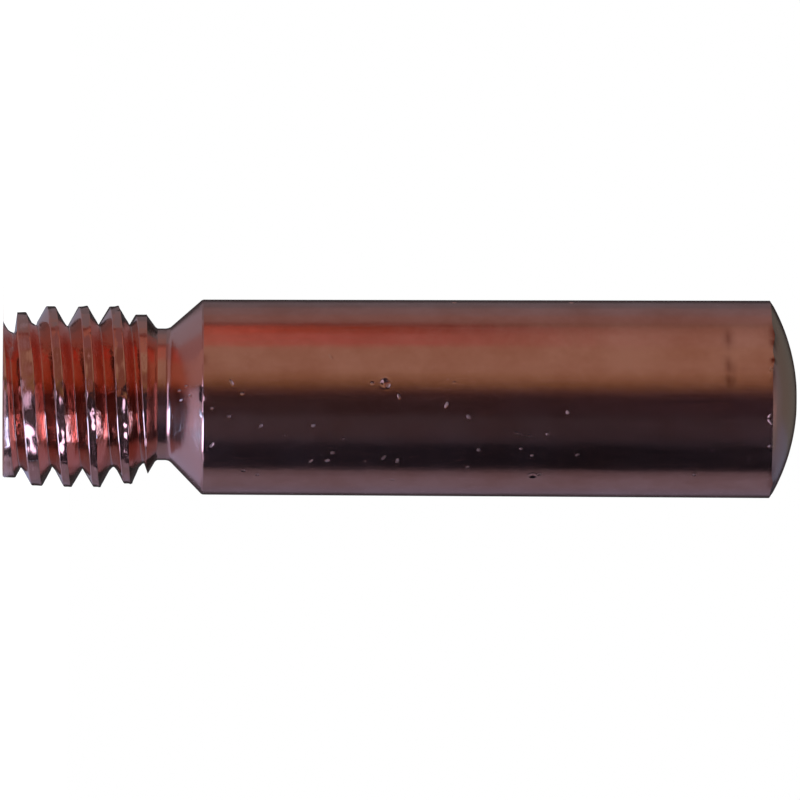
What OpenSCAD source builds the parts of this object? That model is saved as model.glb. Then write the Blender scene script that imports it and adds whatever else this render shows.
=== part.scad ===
// Contact tip for a wire-feed welding torch. It is one piece turned from round copper bar:
// a male thread at the back, a relief neck, a conical seat, a plain round body and a domed
// nose, with a wire bore right through. It stands on its threaded end, the bore along +Z.

/* [Body] */
// Diameter of the body at its wide end, under the nose
body_d = 6.4; // [6.2:0.05:10]
// How much narrower the body is at the seat
body_taper = 0.08; // [0:0.01:0.2]
// Length of the plain round body, between the seat and the nose
body_l = 18.4; // [6:0.01:40]
// Radius of the spherical nose
nose_r = 6.3; // [5.2:0.1:20]
// Width of the break on the corner between seat and body
corner_break = 0.06; // [0.02:0.01:0.2]

/* [Seat and neck] */
// Length of the conical seat
seat_l = 1.08; // [0.4:0.02:4]
// Length of the neck's straight floor
neck_l = 0.42; // [0.3:0.02:3]
// How far the neck is turned below the thread's root
neck_relief = 0.195; // [0.05:0.005:0.4]
// Radius of the fillet between neck and seat
neck_fillet = 0.3; // [0.05:0.01:0.35]

/* [Thread] */
// Major diameter of the thread, over its crests
thread_d = 5.85; // [5.4:0.01:6]
// Pitch of the thread
thread_pitch = 1; // [0.7:0.05:1.25]
// Angle between the two flanks of the groove
thread_angle = 60; // [52:1:70]
// Width of the flat along the crest
crest_w = 0.28; // [0.12:0.01:0.34]
// Width of the flat along the root
root_w = 0.03; // [0.02:0.01:0.15]
// Length of the threaded shank, from its end face to the neck's floor
thread_l = 4.95; // [3.5:0.05:12]
// Angle round the axis at which the groove enters the end face
thread_start = 149; // [0:1:359]
// Diameter of the end face, where the lead-in taper begins
lead_d = 5.2; // [4.4:0.02:5.38]
// Length of the lead-in taper
lead_l = 1.3; // [0.3:0.05:1.5]
// Diameter over the last crest, where the shank drops to the neck
tail_d = 5.32; // [4.9:0.02:5.38]
// Length of the taper that runs down to the last crest
tail_l = 1; // [0.2:0.05:1.2]
// Length of the sloped wall from the last crest down to the neck
wall_l = 0.33; // [0.1:0.01:0.6]

/* [Bore] */
// Diameter of the wire bore
bore_d = 1.1; // [0.7:0.05:1.8]
// Diameter of the funnel's mouth, in the threaded end
funnel_d = 2.8; // [2:0.05:3.6]
// Angle between the funnel's two sides
funnel_angle = 60; // [40:1:120]
// Width of the break on the bore's edge, in the nose
bore_break = 0.03; // [0.02:0.01:0.2]

/* [Hidden] */

$fn = 96;
// Straight steps in one turn of the groove
turn_steps = 48;
// How far cutting shapes reach past the faces that they cut
over = 0.5;

body_r = body_d / 2;
seat_r = body_r - body_taper / 2;
bore_r = bore_d / 2;
funnel_r = funnel_d / 2;
thread_r = thread_d / 2;
lead_r = lead_d / 2;
tail_r = tail_d / 2;

// The flats and the pitch leave this depth for a groove with that angle.
flank_run = tan(thread_angle / 2);
thread_depth = (thread_pitch - crest_w - root_w) / (2 * flank_run);
root_r = thread_r - thread_depth;
neck_r = root_r - neck_relief;

// Heights of the turned steps above the end face.
neck_top = thread_l + neck_l;
seat_top = neck_top + seat_l;
body_top = seat_top + body_l;
nose_centre = body_top - sqrt(nose_r * nose_r - body_r * body_r);
nose_top = nose_centre + nose_r;
bore_end = nose_centre + sqrt(nose_r * nose_r - bore_r * bore_r);
funnel_run = tan(funnel_angle / 2);
funnel_l = (funnel_r - bore_r) / funnel_run;

// The seat rises by seat_slope from the neck's floor, and the fillet touches both.
seat_slope = atan2(seat_r - neck_r, seat_l);
fillet_reach = neck_fillet * tan(seat_slope / 2);
break_z = corner_break * cos(seat_slope);
break_r = corner_break * sin(seat_slope);

// Points on the fillet's arc, from the neck's floor up to the seat.
function fillet_arc(steps) = [
    for (i = [0:steps])
        let (turn = seat_slope * i / steps)
        [
            neck_r + neck_fillet * (1 - cos(turn)),
            neck_top - fillet_reach + neck_fillet * sin(turn)
        ]
];

// The turned outline, as radius and height, up to where the nose begins.
module shank_and_body_outline() {
    polygon(concat(
        [
            [0, 0],
            [lead_r, 0],
            [thread_r, lead_l],
            [thread_r, thread_l - wall_l - tail_l],
            [tail_r, thread_l - wall_l],
            [neck_r, thread_l]
        ],
        fillet_arc(6),
        [
            [seat_r - break_r, seat_top - break_z],
            [seat_r, seat_top + corner_break],
            [body_r, body_top],
            [0, body_top]
        ]
    ));
}

// The spherical nose above the body, as radius and height.
module nose_outline() {
    intersection() {
        translate([0, nose_centre]) circle(r = nose_r);
        translate([0, body_top]) square([body_r + over, nose_top - body_top + over]);
    }
}

// The turned blank, before its thread and its bore are cut.
module blank() {
    rotate_extrude() {
        shank_and_body_outline();
        nose_outline();
    }
}

// One helical V-groove. It starts clear of the end face and runs out over the neck.
module thread_groove() {
    clear = crest_w / (4 * flank_run);
    section = [
        [root_r, -root_w / 2],
        [root_r, root_w / 2],
        [thread_r + clear, root_w / 2 + (thread_depth + clear) * flank_run],
        [thread_r + clear, -root_w / 2 - (thread_depth + clear) * flank_run]
    ];
    corners = len(section);
    start_z = -thread_pitch;
    end_z = thread_l + neck_l / 2;
    stations = ceil((end_z - start_z) / thread_pitch * turn_steps);
    step_z = (end_z - start_z) / stations;
    points = [
        for (i = [0:stations])
            let (z = start_z + i * step_z, turn = thread_start + 360 * z / thread_pitch)
            for (p = section) [p[0] * cos(turn), p[0] * sin(turn), z + p[1]]
    ];
    sides = [
        for (i = [0:stations - 1], c = [0:corners - 1])
            let (
                a = i * corners + c,
                b = i * corners + (c + 1) % corners
            )
            each [[a, b + corners, b], [a, a + corners, b + corners]]
    ];
    first_cap = [for (c = [0:corners - 1]) c];
    last_cap = [for (c = [0:corners - 1]) stations * corners + corners - 1 - c];
    polyhedron(points, concat(sides, [first_cap, last_cap]));
}

// The wire bore, its funnel in the threaded end, and the broken edge in the nose.
module wire_way() {
    translate([0, 0, -over]) cylinder(r = bore_r, h = nose_top + 2 * over);
    translate([0, 0, -over])
        cylinder(r1 = funnel_r + over * funnel_run, r2 = bore_r, h = over + funnel_l);
    translate([0, 0, bore_end - bore_break])
        cylinder(r1 = bore_r, r2 = bore_r + bore_break + over, h = bore_break + over);
}

module contact_tip() {
    color("#b87358")
    difference() {
        blank();
        thread_groove();
        wire_way();
    }
}

contact_tip();
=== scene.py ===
import math

import bmesh
import bpy
from mathutils import Matrix, Vector, kdtree, noise


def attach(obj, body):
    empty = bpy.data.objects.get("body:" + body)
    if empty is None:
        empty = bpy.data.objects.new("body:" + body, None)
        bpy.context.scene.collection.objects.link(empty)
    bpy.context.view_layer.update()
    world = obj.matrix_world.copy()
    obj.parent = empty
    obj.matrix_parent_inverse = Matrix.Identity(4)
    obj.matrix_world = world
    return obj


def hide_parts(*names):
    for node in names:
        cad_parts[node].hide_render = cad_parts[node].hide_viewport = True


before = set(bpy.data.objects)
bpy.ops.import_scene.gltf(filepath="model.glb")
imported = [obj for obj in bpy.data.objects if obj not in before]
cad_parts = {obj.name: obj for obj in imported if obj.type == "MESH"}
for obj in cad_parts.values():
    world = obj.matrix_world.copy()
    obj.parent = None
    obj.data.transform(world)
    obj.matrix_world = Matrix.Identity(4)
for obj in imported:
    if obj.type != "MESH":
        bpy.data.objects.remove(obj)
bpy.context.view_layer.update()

scene = bpy.context.scene
scene.view_settings.view_transform = "Standard"


# The turned blank. Hard-drawn copper bar, held in a lathe: the bar's own skin stays on the body,
# and the shank, neck, seat and nose are turned. Sizes are in millimetres, along the bore's axis.
mm = 0.001
body_r = 3.2
seat_r = 3.16
neck_r = 2.1326
thread_r = 2.925
bore_r = 0.55
thread_l = 4.95
neck_top = 5.37
seat_top = 6.45
body_top = 24.85
nose_r = 6.3
corner_break = 0.03
corner_round = 0.012
nose_break = 0.02
bore_break = 0.03
bore_middle = 13
funnel_r = 1.4
funnel_angle = 60
row_step = 0.16
turn_steps = 192

nose_centre = body_top - math.sqrt(nose_r**2 - body_r**2)
seat_slope = math.atan2(seat_r - neck_r, seat_top - neck_top)
funnel_l = (funnel_r - bore_r) / math.tan(math.radians(funnel_angle / 2))


def arc(centre, radius, start, end, steps):
    """Points on a circle in the outline's plane, from one angle in degrees to another."""
    angles = [math.radians(start + (end - start) * i / steps) for i in range(steps + 1)]
    return [(centre[0] + radius * math.cos(a), centre[1] + radius * math.sin(a)) for a in angles]


def draw_outline(mesh, points, closed):
    """Adds a line through points of radius and height, and gives its vertices and edges."""
    verts = [mesh.verts.new((r, 0, z)) for r, z in points]
    ends = list(zip(verts, verts[1:])) + ([(verts[-1], verts[0])] if closed else [])
    return verts + [mesh.edges.new(pair) for pair in ends]


def along(points, place):
    """The value at a place on a line through points, which runs level past both ends."""
    if place <= points[0][0]:
        return points[0][1]
    for (x0, y0), (x1, y1) in zip(points, points[1:]):
        if place <= x1:
            return y0 + (y1 - y0) * (place - x0) / (x1 - x0)
    return points[-1][1]


# The shank stands a little proud here, because the thread cutter takes it down to its crests.
proud_r = thread_r + 0.04
end_r, end_break, end_step = 2.61, 0.03, 0.02
tail_r, wall_l, wall_foot, neck_corner = 2.66, 0.33, 0.02, 0.05
wall_rise = (wall_l - wall_foot) / (tail_r - neck_r - neck_corner)
neck_fillet = 0.3
fillet_centre = (neck_r + neck_fillet, neck_top - neck_fillet * math.tan(seat_slope / 2))
seat_rows = (0.3, 0.45, 0.6, 0.75, 0.88)
nose_start = math.degrees(math.acos(body_r / nose_r)) + 2
bore_mouth_r = bore_r + bore_break
bore_edge = math.degrees(math.acos(bore_mouth_r / nose_r))
rows = round((body_top - seat_top) / row_step)
outline = [
    (funnel_r, 0),
    (end_r - end_break, 0),
    (end_r, end_break),
    (proud_r, end_break + end_step),
    (proud_r, thread_l - wall_l - (proud_r - tail_r) * wall_rise),
    (neck_r + neck_corner, thread_l - wall_foot),
    (neck_r, thread_l + neck_corner),
]
outline += arc(fillet_centre, neck_fillet, 180, 180 - math.degrees(seat_slope), 10)
for share in seat_rows:
    outline.append((
        neck_r + (seat_r - neck_r) * share,
        neck_top + (seat_top - neck_top) * share,
    ))
outline += [
    (seat_r - corner_break * math.sin(seat_slope), seat_top - corner_break * math.cos(seat_slope)),
    (seat_r - corner_round, seat_top + corner_round),
    (seat_r, seat_top + corner_break),
]
body_low = seat_top + corner_break
rim_z = body_top - nose_break
taper = (body_r - seat_r) / (body_top - body_low)
for i in range(1, rows + 1):
    row_z = body_low + (rim_z - body_low) * i / rows
    outline.append((seat_r + taper * (row_z - body_low), row_z))
outline += arc((0, nose_centre), nose_r, nose_start, bore_edge, 22)
outline += [
    (bore_r, nose_centre + math.sqrt(nose_r**2 - bore_mouth_r**2) - bore_break),
    (bore_r, bore_middle),
    (bore_r, funnel_l),
]
blank = bmesh.new()
bmesh.ops.spin(
    blank, geom=draw_outline(blank, outline, True), cent=(0, 0, 0), axis=(0, 0, 1),
    angle=math.tau, steps=turn_steps, use_merge=True,
)
bmesh.ops.recalc_face_normals(blank, faces=blank.faces)

# The neck was turned a little off centre, and the corner under the body is bruised all round. Burrs
# hang over the nose's edge, given as degrees round from the front, half width and overhang.
neck_off = 0.085
neck_throw = [
    (thread_l - 0.25, 0), (thread_l - wall_foot, neck_off), (neck_top - 0.01, neck_off), (seat_top, 0),
]
corner_bruise = 0.008
rim_burrs = [(40, 6, 0.08), (23.5, 3, 0.06), (-58, 5, 0.06)]
skin_least_r = 2


def degrees_round(point):
    """How far round from the front a point lies, in degrees."""
    return math.degrees(math.atan2(-point.x, -point.y))


def apart(one, other):
    """The angle from one direction to another in degrees, the short way round, with its sign."""
    return (one - other + 180) % 360 - 180


for vert in blank.verts:
    on_skin = vert.co.xy.length > skin_least_r
    if on_skin:
        vert.co.x -= along(neck_throw, vert.co.z)
    if abs(vert.co.z - seat_top) < 0.04:
        bruise = max(0, noise.noise(vert.co * 2.4) + 0.1)
        vert.co.xy *= 1 - corner_bruise * bruise
    if on_skin and abs(vert.co.z - rim_z) < 0.005:
        turn = degrees_round(vert.co)
        vert.co.z += sum(over * math.exp(-((turn - mid) / wide) ** 2) for mid, wide, over in rim_burrs)


# The thread. A right-hand M6 x 1 cut with a single-point tool, so its crests keep a flat with
# slightly worn corners and its root keeps the tool's nose radius. It is cut away from the blank.
pitch = 1.0
thread_start = 149
crest_w = 0.28
crest_round = 0.04
root_round = 0.02
flank = 30.75
thread_steps = 160
cutter_low, cutter_high, cutter_r = -0.6, 5.16, 4
flank_run = math.tan(math.radians(flank))
crest_edge = (pitch - crest_w) / 2
flank_turn = 90 - flank
root_v = thread_r - crest_edge / flank_run
root_centre = root_v + root_round / math.sin(math.radians(flank))
round_reach = crest_round * math.tan(math.radians(flank_turn / 2))
crest_arc = arc((thread_r - crest_round, crest_edge + round_reach), crest_round, 0, -flank_turn, 4)
root_arc = arc((root_centre, 0), root_round, 180 - flank_turn, 180, 3)
high, low = crest_arc[-1], root_arc[0]
crest_hold = 0.012
flank_rows = (0.03, 0.2, 0.4, 0.6, 0.8, 0.97)
half_groove = [(thread_r, pitch / 2), (thread_r, crest_arc[0][1] + crest_hold)] + crest_arc
for share in flank_rows:
    half_groove.append((high[0] + (low[0] - high[0]) * share, high[1] + (low[1] - high[1]) * share))
half_groove += root_arc
groove = half_groove + [(r, -z) for r, z in reversed(half_groove[:-1])]
cutter = bmesh.new()
start_z = -2 * pitch
groove_line = draw_outline(cutter, [(r, z + start_z) for r, z in groove], False)
bmesh.ops.rotate(
    cutter, cent=(0, 0, 0), matrix=Matrix.Rotation(math.radians(thread_start), 3, "Z"),
    verts=[part for part in groove_line if isinstance(part, bmesh.types.BMVert)],
)
turns = 8
bmesh.ops.spin(
    cutter, geom=groove_line, cent=(0, 0, 0), axis=(0, 0, 1), dvec=(0, 0, pitch / thread_steps),
    angle=math.tau * turns, steps=thread_steps * turns,
)
bmesh.ops.remove_doubles(cutter, verts=cutter.verts, dist=0.0005)

# The crests fall away toward both ends, because the shank's two tapers cut their tops off. Their
# corners are bruised, and a dull tool left an uneven lip along the upper one and streaky flanks.
# The groove wandered in places, given as degrees round, height, how much wider on its low and its
# high side, and how much deeper. The first groove was torn open on one side.
crest_heights = [
    (0, 2.61), (0.09, 2.63), (0.57, 2.724), (1.09, 2.89), (1.4, 2.925),
    (3.6, 2.925), (4.07, 2.815), (4.57, 2.67), (4.8, 2.6),
]
wanders = [
    (180, 1.09, 0.11, -0.05, 0.03),
    (180, 2.09, 0.05, 0, 0.05),
    (0, 0.59, 0, 0.03, 0.03),
    (0, 1.59, -0.03, 0.05, 0.06),
    (0, 3.59, 0.07, 0.06, 0.06),
    (0, 4.59, 0.12, 0, 0.18),
]
wander_reach, wander_height = 70, 0.35
streak_depth = 0.016
bruise_depth = 0.05
lip_heights = [(2, 0.013), (4.3, 0.04)]
lip_limit = 0.034
tear_turn, tear_reach, tear_fade = 180, 60, 20
tear_low, tear_high = -0.4, 0.5
tear_root_z, tear_wall_z, tear_edge_z = 0.335, 0.36, 0.45
tear_depth, tear_hollow = 0.28, 0.5
crest_middle, root_w = 0.05, 0.06
for vert in cutter.verts:
    radius = vert.co.xy.length
    degrees = math.degrees(math.atan2(vert.co.y, vert.co.x))
    from_groove = vert.co.z - (degrees - thread_start) / 360 * pitch
    turn_number = math.floor(from_groove / pitch + 0.5)
    offset = from_groove - turn_number * pitch
    groove_z = vert.co.z - offset
    side = 1 if offset > 0 else -1
    on_flank = abs(offset) < pitch / 2 - crest_middle
    share = min(1, max(0, (radius - low[0]) / (high[0] - low[0])))
    drop = (thread_r - along(crest_heights, groove_z + side * pitch / 2)) * share
    new_r = radius - drop
    if on_flank:
        vert.co.z -= side * drop * flank_run
    for wander_turn, wander_z, wide_low, wide_high, deeper in wanders:
        away = abs(apart(degrees, wander_turn))
        if abs(groove_z - wander_z) < wander_height and away < wander_reach:
            much = 1 - (away / wander_reach) ** 2
            new_r -= deeper * much * (1 - share)
            if on_flank:
                wider = wide_high if side > 0 else wide_low
                vert.co.z += side * wider * much * min(1, abs(offset) / root_w)
    helix = (degrees / 360 + turn_number) * math.tau * thread_r
    if 0 < share < 1:
        streak = noise.noise(Vector((helix * 1.3, share * 7 + side * 20, 3)))
        fine = noise.noise(Vector((helix * 4, share * 9 + side * 40, 9)))
        new_r += streak_depth * (streak + 0.6 * fine) * (1 if side < 0 else 0.4)
    elif share == 1 and on_flank:
        bruise = max(0, noise.noise(Vector((helix * 1.9, side * 30, 5))) + 0.1)
        new_r -= bruise_depth * bruise * (0.6 + 0.4 * noise.noise(Vector((helix * 6, side * 30, 8))))
        if side < 0:
            lip = noise.noise(Vector((helix * 2.2, turn_number * 5, 7)))
            lip += 0.7 * noise.noise(Vector((helix * 6, turn_number * 5, 2)))
            new_r += min(lip_limit, along(lip_heights, groove_z) * max(0, 0.55 + lip))
    away = abs(apart(degrees, tear_turn))
    if tear_low < groove_z < tear_high and away < tear_reach:
        much = min(1, (tear_reach - away) / tear_fade)
        if share == 0:
            torn_z = tear_root_z + 0.6 * offset
        elif side < 0:
            torn_z = vert.co.z + (tear_root_z - groove_z) * (1 - share)
        elif share < 1:
            torn_z = tear_wall_z + (tear_edge_z - tear_wall_z) * share
        else:
            torn_z = max(vert.co.z, tear_edge_z + 0.2 * (offset - crest_edge))
        vert.co.z += (torn_z - vert.co.z) * much
        hollow = tear_hollow * share * (1 - share) if side < 0 else 0
        new_r -= (tear_depth * (1 - share) + hollow) * much
    vert.co.xy = vert.co.xy.normalized() * new_r
for end_z, end_side in ((cutter_low, -1), (cutter_high, 1)):
    bmesh.ops.bisect_plane(
        cutter, geom=cutter.verts[:] + cutter.edges[:] + cutter.faces[:],
        plane_co=(0, 0, end_z), plane_no=(0, 0, end_side), clear_outer=True,
    )
rims = [edge for edge in cutter.edges if edge.is_boundary]
outer = bmesh.ops.extrude_edge_only(cutter, edges=rims)["geom"]
for vert in (part for part in outer if isinstance(part, bmesh.types.BMVert)):
    vert.co.xy = vert.co.xy.normalized() * cutter_r
bmesh.ops.bridge_loops(cutter, edges=[edge for edge in cutter.edges if edge.is_boundary])
bmesh.ops.recalc_face_normals(cutter, faces=cutter.faces)


def shown(name, shape):
    """Puts a finished bmesh in the scene as an object with that name."""
    mesh = bpy.data.meshes.new(name)
    shape.to_mesh(mesh)
    shape.free()
    made = bpy.data.objects.new(name, mesh)
    scene.collection.objects.link(made)
    return made


blank_work = shown("blank_work", blank)
cutter_work = shown("cutter_work", cutter)
cut = blank_work.modifiers.new("thread", "BOOLEAN")
cut.operation = "DIFFERENCE"
cut.solver = "EXACT"
cut.object = cutter_work
graph = bpy.context.evaluated_depsgraph_get()
cut_mesh = bpy.data.meshes.new_from_object(blank_work.evaluated_get(graph))
tip = bmesh.new()
tip.from_mesh(cut_mesh)
for work in (blank_work, cutter_work):
    bpy.data.objects.remove(work)


# Knocks from the bin and the bench: nicks with a thrown-up rim, a few deeper pits, and burrs that
# stand up, which have a depth below nothing. Each line gives height, degrees round from the front,
# half length, half width, slant and depth.
knocks = [
    # The dent in the body's middle, the burr at its edge and a nick beside it.
    (12.31, 8.8, 0.100, 0.105, 0, 0.048),
    (12.41, 7.2, 0.080, 0.060, 45, -0.024),
    (11.90, 8.5, 0.060, 0.045, 0, 0.016),
    # Nicks, pits and scratches along the near side.
    (7.39, 8.2, 0.080, 0.040, -60, 0.022),
    (7.72, 2.1, 0.065, 0.040, 0, 0.016),
    (6.75, -6.7, 0.050, 0.040, 0, 0.016),
    (7.30, -11.4, 0.060, 0.050, 0, 0.018),
    (8.33, -16.8, 0.080, 0.040, 60, 0.018),
    (10.02, -16.6, 0.055, 0.045, 0, 0.022),
    (9.11, -22.9, 0.045, 0.035, 0, 0.010),
    (10.99, -24.7, 0.045, 0.035, 0, 0.010),
    (6.75, -29.0, 0.110, 0.040, 60, 0.018),
    (10.65, -34.1, 0.060, 0.050, 0, 0.018),
    (9.95, -40.5, 0.090, 0.040, 50, 0.018),
    (10.47, -40.0, 0.080, 0.050, 20, 0.020),
    (11.70, -40.4, 0.055, 0.040, 0, 0.010),
    (12.29, -37.6, 0.100, 0.040, 60, 0.018),
    (12.74, -39.8, 0.090, 0.050, 80, 0.027),
    (12.77, 1.0, 0.080, 0.040, -70, 0.018),
    (7.78, -48.5, 0.055, 0.040, 0, 0.016),
    (8.22, -52.1, 0.055, 0.040, 0, 0.016),
    (12.61, -56.5, 0.065, 0.050, 0, 0.010),
    (14.31, -3.8, 0.100, 0.040, 70, 0.024),
    (15.01, -10.8, 0.080, 0.050, -30, 0.020),
    (17.57, -21.0, 0.050, 0.040, 0, 0.016),
    (18.21, -8.0, 0.080, 0.040, -65, 0.018),
    (15.35, -31.6, 0.065, 0.050, 70, 0.018),
    (16.72, -30.6, 0.050, 0.040, 0, 0.016),
    (17.08, -35.3, 0.050, 0.040, 0, 0.016),
    (18.54, -34.6, 0.060, 0.040, 30, 0.016),
    (15.01, -44.3, 0.050, 0.040, 0, 0.016),
    (17.12, -51.9, 0.100, 0.080, 0, 0.034),
    (17.33, -50.6, 0.070, 0.030, 20, 0.016),
    (16.20, -18.8, 0.090, 0.030, -25, 0.009),
    (16.60, -20.8, 0.150, 0.028, -15, 0.011),
    (17.00, -22.3, 0.120, 0.028, -10, 0.009),
    (10.55, -21.8, 0.070, 0.030, -40, 0.008),
    (14.55, 9.1, 0.045, 0.035, 0, 0.010),
    (22.91, -31.0, 0.045, 0.035, 0, 0.010),
    (24.08, -37.2, 0.045, 0.035, 0, 0.010),
    (22.33, -50.0, 0.055, 0.040, 0, 0.016),
    (10.57, 24.4, 0.110, 0.040, -60, 0.008),
    # Two slanting nicks, a round one and a burr on the nose's edge.
    (24.74, -9.5, 0.120, 0.035, 50, 0.013),
    (24.74, -13.0, 0.120, 0.035, -50, 0.013),
    (24.76, -28.1, 0.070, 0.055, 0, 0.015),
    (24.76, 18.0, 0.050, 0.080, 0, -0.010),
    # Faint smears.
    (7.05, -33.0, 0.160, 0.030, 35, 0.006),
    (7.50, -38.0, 0.200, 0.030, -20, 0.005),
    (9.30, -30.0, 0.200, 0.030, 15, 0.005),
    (10.30, -36.0, 0.180, 0.030, -30, 0.006),
    (12.50, -26.0, 0.150, 0.030, 60, 0.005),
    # Guesses for the far side.
    (8.10, 118.0, 0.070, 0.045, 30, 0.016),
    (9.70, 171.0, 0.060, 0.045, 0, 0.018),
    (11.40, 139.0, 0.090, 0.040, -55, 0.018),
    (13.20, 196.0, 0.060, 0.050, 0, 0.016),
    (13.90, 228.0, 0.080, 0.040, 60, 0.018),
    (16.30, 152.0, 0.055, 0.045, 0, 0.016),
    (18.80, 211.0, 0.090, 0.040, -40, 0.020),
    (20.60, 124.0, 0.060, 0.045, 0, 0.016),
    (21.90, 183.0, 0.070, 0.040, 50, 0.018),
    (23.30, 241.0, 0.055, 0.045, 0, 0.016),
    # Two pits far round the side.
    (14.59, 76.0, 0.070, 0.060, 0, 0.030),
    (18.38, 76.5, 0.070, 0.060, 0, 0.030),
    # Specks on the seat.
    (5.70, 4.5, 0.050, 0.045, 0, 0.018),
    (5.76, -2.5, 0.070, 0.035, 40, 0.018),
    (5.92, 7.5, 0.050, 0.040, 0, 0.016),
    (6.05, 1.0, 0.045, 0.040, 0, 0.014),
    # Nicks along the thread's crests.
    (0.88, -32.0, 0.260, 0.040, 98, 0.006),
    (1.67, 1.5, 0.160, 0.045, 95, 0.014),
    (1.77, -22.0, 0.200, 0.040, 98, 0.007),
    (2.69, 1.0, 0.120, 0.045, 95, 0.014),
    (2.80, -11.0, 0.180, 0.040, 108, 0.012),
    (3.86, -10.0, 0.240, 0.045, 98, 0.012),
]
skin_line = crest_heights + [(neck_top, neck_r), (seat_top, seat_r), (body_top, body_r)]


def spot_place(point, spot):
    """How far from a spot's middle a point lies, 1 being the spot's edge."""
    spot_z, around, half_l, half_w, slant = spot[:5]
    across = math.radians(apart(degrees_round(point), around)) * body_r
    rise = point.z - spot_z
    c, s = math.cos(math.radians(slant)), math.sin(math.radians(slant))
    return math.hypot((rise * c + across * s) / half_l, (across * c - rise * s) / half_w)


def spot_centre(spot):
    """The point on the tip's skin in the middle of a spot."""
    turn = math.radians(spot[1])
    skin_r = along(skin_line, spot[0])
    return Vector((-math.sin(turn) * skin_r, -math.cos(turn) * skin_r, spot[0]))


def near(places, spot, reach):
    """The numbers of those places that lie within reach of a spot, in its own half lengths."""
    found = places.find_range(spot_centre(spot), max(spot[2:4]) * reach)
    return [index for co, index, distance in found if spot_place(co, spot) < reach]


# Faces near a knock are divided twice, and those on the crests once, so that they can take its shape.
for reach, spare, lowest in ((2.4, 0.08, 0), (2.0, 0.02, thread_l)):
    tip.faces.ensure_lookup_table()
    middles = kdtree.KDTree(len(tip.faces))
    for face in tip.faces:
        middles.insert(face.calc_center_median(), face.index)
    middles.balance()
    edges = set()
    for knock in (row for row in knocks if row[0] > lowest):
        for index in near(middles, knock, reach + spare / min(knock[2:4])):
            edges.update(tip.faces[index].edges)
    bmesh.ops.subdivide_edges(tip, edges=list(edges), cuts=2, use_grid_fill=True)
    tip.faces.index_update()

tip.verts.ensure_lookup_table()
skin = kdtree.KDTree(len(tip.verts))
for vert in tip.verts:
    skin.insert(vert.co, vert.index)
skin.balance()

# A knock sinks in the middle and throws up a rim. Shallow ones are ragged and bared to fresh metal,
# and the deepest are round and bared only along the rim.
rim_at, rim_w, rim_rise = 1.5, 0.45, 0.2
sink_share = 0.85
ragged_below, bared_below, bare_depth = 0.03, 0.032, 0.03
bare = tip.verts.layers.float.new("bare")
sinks = {}
for knock in knocks:
    depth = knock[5]
    ragged = 0.4 if depth < ragged_below else 0.1
    for index in near(skin, knock, 3):
        vert = tip.verts[index]
        away = spot_place(vert.co, knock) * (1 + ragged * noise.noise(vert.co * 14))
        pit = math.exp(-away**2)
        rim = math.exp(-((away - rim_at) / rim_w) ** 2)
        sinks[index] = sinks.get(index, 0) + sink_share * depth * (pit - rim_rise * rim)
        bared = math.exp(-(away / 1.1) ** 4) if depth < bared_below else 0.15 * rim
        vert[bare] = max(vert[bare], min(1, abs(depth) / bare_depth) * bared)
for index, sink in sinks.items():
    flat = tip.verts[index].co.xy
    tip.verts[index].co.xy = flat.normalized() * (flat.length - sink)

# Old stains: brown runs under the nose and burnt blots on its edge. They are given like the knocks,
# with a strength in place of the depth.
stains = [
    (23.40, 37.5, 0.14, 0.36, 0, 0.5),
    (23.42, 19.5, 0.13, 0.30, 10, 0.5),
    (23.44, 11.0, 0.13, 0.22, 0, 0.55),
    (24.86, 41.0, 0.13, 0.34, 0, 0.8),
    (24.86, 35.0, 0.08, 0.22, 12, 0.8),
    (24.85, 23.5, 0.09, 0.12, 0, 0.9),
    (24.86, 14.0, 0.06, 0.40, 0, 0.4),
    (24.82, -58.5, 0.10, 0.30, 0, 0.8),
    (24.86, -48.0, 0.07, 0.30, 0, 0.5),
]
stained = tip.verts.layers.float.new("stained")
turned = tip.verts.layers.float.new("turned")
torn = tip.verts.layers.float.new("torn")
threaded = tip.verts.layers.float.new("threaded")
for stain in stains:
    for index in near(skin, stain, 2.2):
        vert = tip.verts[index]
        vert[stained] = max(vert[stained], stain[5] * math.exp(-spot_place(vert.co, stain) ** 2))
tip.normal_update()
lip_r = thread_r + 0.03
flank_facing = 0.4
for vert in tip.verts:
    vert[turned] = 1.0 if vert.co.z < seat_top or vert.co.z > body_top else 0.0
    on_thread = vert.co.z < thread_l and skin_least_r < vert.co.xy.length < lip_r
    vert[threaded] = 1.0 if on_thread else 0.0
    vert[torn] = 1.0 if on_thread and vert.normal.z > flank_facing else 0.0

bmesh.ops.scale(tip, vec=(mm, mm, mm), verts=tip.verts)
bmesh.ops.recalc_face_normals(tip, faces=tip.faces)
tip_piece = shown("tip_turned_copper", tip)
tip_piece.data.shade_smooth()
tip_piece.data.set_sharp_from_angle(angle=math.radians(28))
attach(tip_piece, "root")
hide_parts("contact_tip")


def linear(code):
    """A colour written as sRGB hex, as linear red, green, blue and alpha."""
    parts = [int(code[i:i + 2], 16) / 255 for i in (1, 3, 5)]
    return (*[p / 12.92 if p <= 0.04045 else ((p + 0.055) / 1.055) ** 2.4 for p in parts], 1)


def add_node(tree, kind, inputs, **settings):
    """Adds a node with its settings, and sets or links each of its inputs."""
    made = tree.nodes.new(kind)
    for name, value in settings.items():
        setattr(made, name, value)
    for name, value in inputs.items():
        if isinstance(value, bpy.types.NodeSocket):
            tree.links.new(value, made.inputs[name])
        else:
            made.inputs[name].default_value = value
    return made


def new_material(name):
    """An empty material with that name, and its tree of nodes."""
    made = bpy.data.materials.new(name)
    made.use_nodes = True
    made.node_tree.nodes.clear()
    return made, made.node_tree


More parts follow.
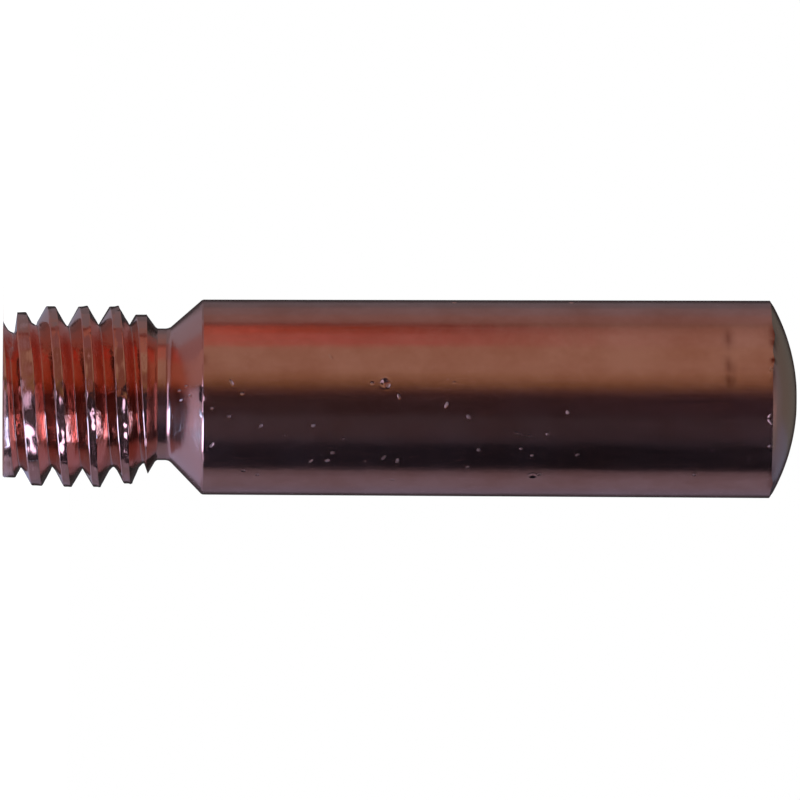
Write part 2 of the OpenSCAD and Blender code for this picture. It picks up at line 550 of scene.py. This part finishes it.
# Bare copper, drawn along the body and turned elsewhere. The eye sees a pink metal mirror, blurred
# a little by fine lines, cloudy where it has begun to tarnish, with hairline scores there, brown
# where it is stained and pale where a knock bared it. The thread is shinier, and its upward flanks
# are rough where the tool tore them. Scales count to the metre: the lines are really some 0.02 mm
# apart, but drawn coarser, 9 and 15 to the millimetre, so that the picture can hold them.
bare_dulls, thread_shines = 0.22, -0.09
ripple_rise, score_rise, tear_rise = 7.0, -1.2, 9.0
copper, tree = new_material("copper_drawn_and_turned")
place = add_node(tree, "ShaderNodeTexCoord", {}).outputs["Object"]
is_turned, is_bare, is_torn, is_threaded, is_stained = (
    add_node(tree, "ShaderNodeAttribute", {}, attribute_name=name).outputs["Fac"]
    for name in ("turned", "bare", "torn", "threaded", "stained")
)
cloud = add_node(tree, "ShaderNodeTexNoise", {
    "Vector": place, "Scale": 620, "Detail": 4, "Roughness": 0.6,
})
grain = add_node(tree, "ShaderNodeTexNoise", {"Vector": place, "Scale": 16000, "Detail": 2})
drawn_place = add_node(tree, "ShaderNodeMapping", {"Vector": place, "Scale": (9000, 9000, 420)})
drawn = add_node(tree, "ShaderNodeTexNoise", {
    "Vector": drawn_place.outputs[0], "Scale": 1, "Detail": 3,
})
flat_place = add_node(tree, "ShaderNodeMapping", {"Vector": place, "Scale": (1, 1, 0)})
from_axis = add_node(tree, "ShaderNodeVectorMath", {0: flat_place.outputs[0]}, operation="LENGTH")
place_parts = add_node(tree, "ShaderNodeSeparateXYZ", {0: place})
ring_place = add_node(tree, "ShaderNodeCombineXYZ", {
    "X": from_axis.outputs["Value"], "Z": place_parts.outputs["Z"],
})
rings = add_node(tree, "ShaderNodeTexNoise", {
    "Vector": ring_place.outputs[0], "Scale": 15000, "Detail": 2,
})
fine_lines = add_node(tree, "ShaderNodeMix", {
    "Factor": is_turned, "A": drawn.outputs["Fac"], "B": rings.outputs["Fac"],
})
clouded = add_node(tree, "ShaderNodeMapRange", {
    "Value": cloud.outputs["Fac"], "From Min": 0.35, "From Max": 0.7,
})
tint = add_node(tree, "ShaderNodeMix", {
    "Factor": clouded.outputs[0], "A": linear("#F4B4A5"), "B": linear("#E5A08D"),
}, data_type="RGBA")
tint = add_node(tree, "ShaderNodeMix", {
    "Factor": is_turned, "A": tint.outputs["Result"], "B": linear("#F6B2A1"),
}, data_type="RGBA")
patch = add_node(tree, "ShaderNodeMath", {0: cloud.outputs["Fac"], 1: 0.75}, operation="ADD")
patch = add_node(tree, "ShaderNodeMath", {
    0: is_stained, 1: patch.outputs[0],
}, operation="MULTIPLY", use_clamp=True)
tint = add_node(tree, "ShaderNodeMix", {
    "Factor": patch.outputs[0], "A": tint.outputs["Result"], "B": linear("#8A4334"),
}, data_type="RGBA")
tint = add_node(tree, "ShaderNodeMix", {
    "Factor": is_bare, "A": tint.outputs["Result"], "B": linear("#F2CFC4"),
}, data_type="RGBA")
polish = add_node(tree, "ShaderNodeMapRange", {
    "Value": fine_lines.outputs[0], "From Min": 0.3, "From Max": 0.7, "To Min": 0.17, "To Max": 0.23,
})
dull = add_node(tree, "ShaderNodeMath", {0: is_bare, 1: bare_dulls}, operation="MULTIPLY")
dull = add_node(tree, "ShaderNodeMath", {0: dull.outputs[0], 1: polish.outputs[0]}, operation="ADD")
dull = add_node(tree, "ShaderNodeMath", {
    0: is_threaded, 1: thread_shines, 2: dull.outputs[0],
}, operation="MULTIPLY_ADD")
relief = add_node(tree, "ShaderNodeMath", {
    0: fine_lines.outputs[0], 1: grain.outputs["Fac"],
}, operation="ADD")
ripple = add_node(tree, "ShaderNodeTexNoise", {"Vector": place, "Scale": 1400, "Detail": 2})
relief = add_node(tree, "ShaderNodeMath", {
    0: ripple.outputs["Fac"], 1: ripple_rise, 2: relief.outputs[0],
}, operation="MULTIPLY_ADD")
scored_place = add_node(tree, "ShaderNodeMapping", {
    "Vector": place, "Rotation": (0.5, 0.3, 0.2), "Scale": (1500, 1500, 260),
})
scored = add_node(tree, "ShaderNodeTexNoise", {
    "Vector": scored_place.outputs[0], "Scale": 1, "Detail": 1,
})
scored = add_node(tree, "ShaderNodeMath", {
    0: scored.outputs["Fac"], 1: 0.5, 2: 0.006,
}, operation="COMPARE")
scored = add_node(tree, "ShaderNodeMath", {
    0: scored.outputs[0], 1: clouded.outputs[0],
}, operation="MULTIPLY")
relief = add_node(tree, "ShaderNodeMath", {
    0: scored.outputs[0], 1: score_rise, 2: relief.outputs[0],
}, operation="MULTIPLY_ADD")
tear = add_node(tree, "ShaderNodeTexNoise", {
    "Vector": place, "Scale": 7000, "Detail": 3, "Distortion": 0.6,
})
tear = add_node(tree, "ShaderNodeMath", {0: tear.outputs["Fac"], 1: is_torn}, operation="MULTIPLY")
relief = add_node(tree, "ShaderNodeMath", {
    0: tear.outputs[0], 1: tear_rise, 2: relief.outputs[0],
}, operation="MULTIPLY_ADD")
bump = add_node(tree, "ShaderNodeBump", {
    "Height": relief.outputs[0], "Strength": 0.5, "Distance": 0.000002,
})
shader = add_node(tree, "ShaderNodeBsdfPrincipled", {
    "Base Color": tint.outputs["Result"], "Metallic": 1.0, "Roughness": dull.outputs[0],
    "Normal": bump.outputs[0],
})
add_node(tree, "ShaderNodeOutputMaterial", {"Surface": shader.outputs[0]})
tip_piece.data.materials.append(copper)


# The floor. A plain table top that runs out of sight, painted matt white. It takes the tip's soft
# shadow, and it glows a little for the camera alone, so that it comes out white.
camera_glow = 0.6
floor_shape = bmesh.new()
bmesh.ops.create_grid(floor_shape, x_segments=1, y_segments=1, size=1.0)
floor = shown("floor", floor_shape)
floor_paint, tree = new_material("floor_matt_white")
floor_ray = add_node(tree, "ShaderNodeLightPath", {})
lift = add_node(tree, "ShaderNodeMath", {
    0: floor_ray.outputs["Is Camera Ray"], 1: camera_glow,
}, operation="MULTIPLY")
matt = add_node(tree, "ShaderNodeBsdfDiffuse", {"Color": linear("#E6E6E6")})
lift = add_node(tree, "ShaderNodeEmission", {"Color": linear("#FFFFFF"), "Strength": lift.outputs[0]})
both = add_node(tree, "ShaderNodeAddShader", {0: matt.outputs[0], 1: lift.outputs[0]})
add_node(tree, "ShaderNodeOutputMaterial", {"Surface": both.outputs[0]})
floor.data.materials.append(floor_paint)


# The studio. A tent of painted card bent round the tip, which only the metal sees, and soft white
# light. A card is given by its colour, a line of radius and height in millimetres, and the two
# directions, in degrees round from the front, that it reaches between.
def add_card(name, colour, outline_points, start, end, strength=1.0):
    """A card bent round the tip: an outline of radius and height, swept between two directions."""
    shape = bmesh.new()
    geom = draw_outline(shape, outline_points, False)
    bmesh.ops.rotate(
        shape, cent=(0, 0, 0), verts=shape.verts,
        matrix=Matrix.Rotation(math.radians(270 - start), 3, "Z"),
    )
    bmesh.ops.spin(
        shape, geom=geom, cent=(0, 0, 0), axis=(0, 0, 1),
        angle=-math.radians(end - start), steps=24,
    )
    bmesh.ops.scale(shape, vec=(mm, mm, mm), verts=shape.verts)
    card = shown(name, shape)
    card.visible_camera = card.visible_diffuse = card.visible_shadow = False
    paint, tree = new_material(name)
    glow = add_node(tree, "ShaderNodeEmission", {"Color": linear(colour), "Strength": strength})
    add_node(tree, "ShaderNodeOutputMaterial", {"Surface": glow.outputs[0]})
    paint.cycles.emission_sampling = "NONE"
    card.data.materials.append(paint)


wall_r, wall_foot_z, wall_split, wall_top, tent_top = 60, 0.03, 17, 45, 140
wall = [(wall_r, wall_foot_z), (wall_r, wall_top)]
wall_low = [(wall_r, wall_foot_z), (wall_r, wall_split)]
wall_high = [(wall_r, wall_split), (wall_r, wall_top)]
mat_r, mat_inner_r, mat_z = 14, 3, 0.02
mat = [(mat_inner_r, mat_z), (mat_r, mat_z)]
cove = [(mat_r, wall_foot_z), (wall_r, wall_foot_z)]
back_low, back_middle, back_high = 27, 47, 96
strip_z = 0.05
add_card("card_grey_top", "#646A74", wall, 130, 150)
add_card("card_grey_upper", "#75747C", wall, 112, 130)
add_card("card_warm_upper", "#7D7273", wall, 97, 112)
add_card("flag_slit", "#643E3A", wall_low, 91, 97)
add_card("flag_slit_high", "#746A64", wall_high, 91, 97)
for name, red, rust, bottom, top in (
    ("foot", "#8C6A62", "#8E7066", wall_foot_z, 6),
    ("low", "#C46C60", "#AE6C60", 6, 8.5),
    ("middle", "#7E4430", "#986664", 8.5, 15),
    ("high", "#886668", "#926F6B", 15, 19),
    ("top", "#887A73", "#90857E", 19, wall_top),
):
    add_card("card_red_" + name, red, [(wall_r, bottom), (wall_r, top)], 80, 91)
    add_card("card_rust_" + name, rust, [(wall_r, bottom), (wall_r, top)], 62, 80)
add_card("card_tan", "#908478", wall, 28, 62)
for i, colour in enumerate(("#867862", "#7E6F5E", "#6C5D44", "#584C46", "#3A2D31")):
    add_card(f"card_tan_edge_{i}", colour, wall, 23 - 5 * i, 28 - 5 * i)
for name, low_colour, high_colour, start, end in (
    ("brown", "#2F2B30", "#27222A", -20, 3),
    ("plum", "#3C3F4A", "#2E3039", -46, -20),
    ("plum_edge", "#343A48", "#272C37", -54, -46),
    ("black", "#1A202C", "#11151D", -92.5, -54),
):
    add_card("flag_" + name, low_colour, wall_low, start, end)
    add_card("flag_" + name + "_high", high_colour, wall_high, start, end)
add_card("card_grey_edge", "#606473", wall, -103, -92.5)
add_card("card_grey_lower", "#6D7386", wall, -128, -103)
add_card("card_blue_lower", "#6A7086", wall, -150, -128)
add_card("flag_back", "#36383C", cove + [(wall_r, back_low)], 150, 210)
add_card("flag_back_high", "#242426", [(wall_r, back_low), (wall_r, back_middle)], 150, 210)
add_card("card_back_middle", "#586360", [(wall_r, back_middle), (wall_r, back_high)], 110, 188)
add_card("card_back_blue", "#5D6C82", [(wall_r, back_middle), (wall_r, back_high)], 188, 250)
add_card("card_back_top", "#5C6A73", [(wall_r, back_high), (55, tent_top)], 110, 250)
add_card("mat_under", "#7C8498", [(0.01, mat_z), (mat_inner_r, mat_z)], 0, 360)
add_card("mat_back", "#80899C", mat, 97, 210)
add_card("mat_red", "#807078", mat, 62, 97)
add_card("mat_tan", "#8E7C7E", mat, 16, 62)
add_card("mat_front", "#1C202C", mat, -66, 16)
add_card("mat_lower", "#8C9ABE", mat, -150, -66)
add_card("cove_upper", "#6E7480", cove, 97, 150)
add_card("cove_red", "#745C60", cove, 62, 97)
add_card("cove_tan", "#6E524A", cove, 3, 62)
add_card("cove_front", "#2E303C", cove, -92.5, 3)
add_card("cove_lower", "#747993", cove, -150, -92.5)
add_card("card_foot", "#C8D4FF", [(2.5, strip_z), (4.0, strip_z)], -66, 12, 0.65)
add_card("card_glint", "#8CC4FF", [(4.8, strip_z), (7.6, strip_z)], -64, -24, 9)
add_card("card_streak", "#BECBFF", [(9.5, strip_z), (12.5, strip_z)], -27, 18, 2.6)
add_card("card_streak_wide", "#BECBFF", [(7.6, strip_z), (16, strip_z)], -72, -27, 4.2)
add_card("card_front_high", "#C4D2FF", [(59, 44), (59, 53)], -80, 20, 2.4)
add_card("flag_front_high", "#2C2628", [(wall_r, wall_top), (wall_r, tent_top)], -100, 110)
add_card("roof", "#5E5C68", [(wall_r, tent_top), (0.01, 150)], 0, 360)
add_card("tent", "#3A2C2C", [(90, 0.1), (90, 60), (wall_r, tent_top)], 0, 360)

world = bpy.data.worlds.new("studio")
scene.world = world
world.use_nodes = True
tree = world.node_tree
tree.nodes.clear()
sky_ray = add_node(tree, "ShaderNodeLightPath", {})
seen = add_node(tree, "ShaderNodeMath", {
    0: sky_ray.outputs["Is Camera Ray"], 1: sky_ray.outputs["Is Glossy Ray"],
}, operation="MAXIMUM")
seen = add_node(tree, "ShaderNodeMath", {
    0: seen.outputs[0], 1: sky_ray.outputs["Is Transmission Ray"],
}, operation="MAXIMUM")
glow = add_node(tree, "ShaderNodeMapRange", {"Value": seen.outputs[0], "To Min": 0.6, "To Max": 1.0})
sky = add_node(tree, "ShaderNodeBackground", {"Color": linear("#FFFFFF"), "Strength": glow.outputs[0]})
add_node(tree, "ShaderNodeOutputWorld", {"Surface": sky.outputs[0]})

lamp = bpy.data.lights.new("softbox", "AREA")
lamp.shape = "DISK"
lamp.size = 0.1
lamp.energy = 0.05
softbox = bpy.data.objects.new("softbox", lamp)
softbox.location = (0.02, 0, 0.2)
scene.collection.objects.link(softbox)


# The camera. A long lens a little below the tip's middle, turned on its side so that the standing
# tip lies along the picture, its nose to the right and a quarter of a degree low.
frame_w = 25.918
sensor_w = 36
distance = 550
eye_drop = 0.065
rise = math.radians(-1.0)
roll = math.radians(0.237)
middle = Vector((0, 0, 12.86))
back = Vector((0, -math.cos(rise), math.sin(rise)))
up = Vector((-1, 0, 0))
right = up.cross(back)
across = right * math.cos(roll) + up * math.sin(roll)
above = up * math.cos(roll) - right * math.sin(roll)
eye_place = middle + back * distance - above * eye_drop
eye = bpy.data.cameras.new("eye")
eye.sensor_width = sensor_w
eye.lens = sensor_w * distance / frame_w
eye.clip_start, eye.clip_end = 0.01, 20
camera = bpy.data.objects.new("eye", eye)
facing = Matrix((across, above, back)).transposed()
camera.matrix_world = Matrix.Translation(eye_place * mm) @ facing.to_4x4()
scene.collection.objects.link(camera)
scene.camera = camera
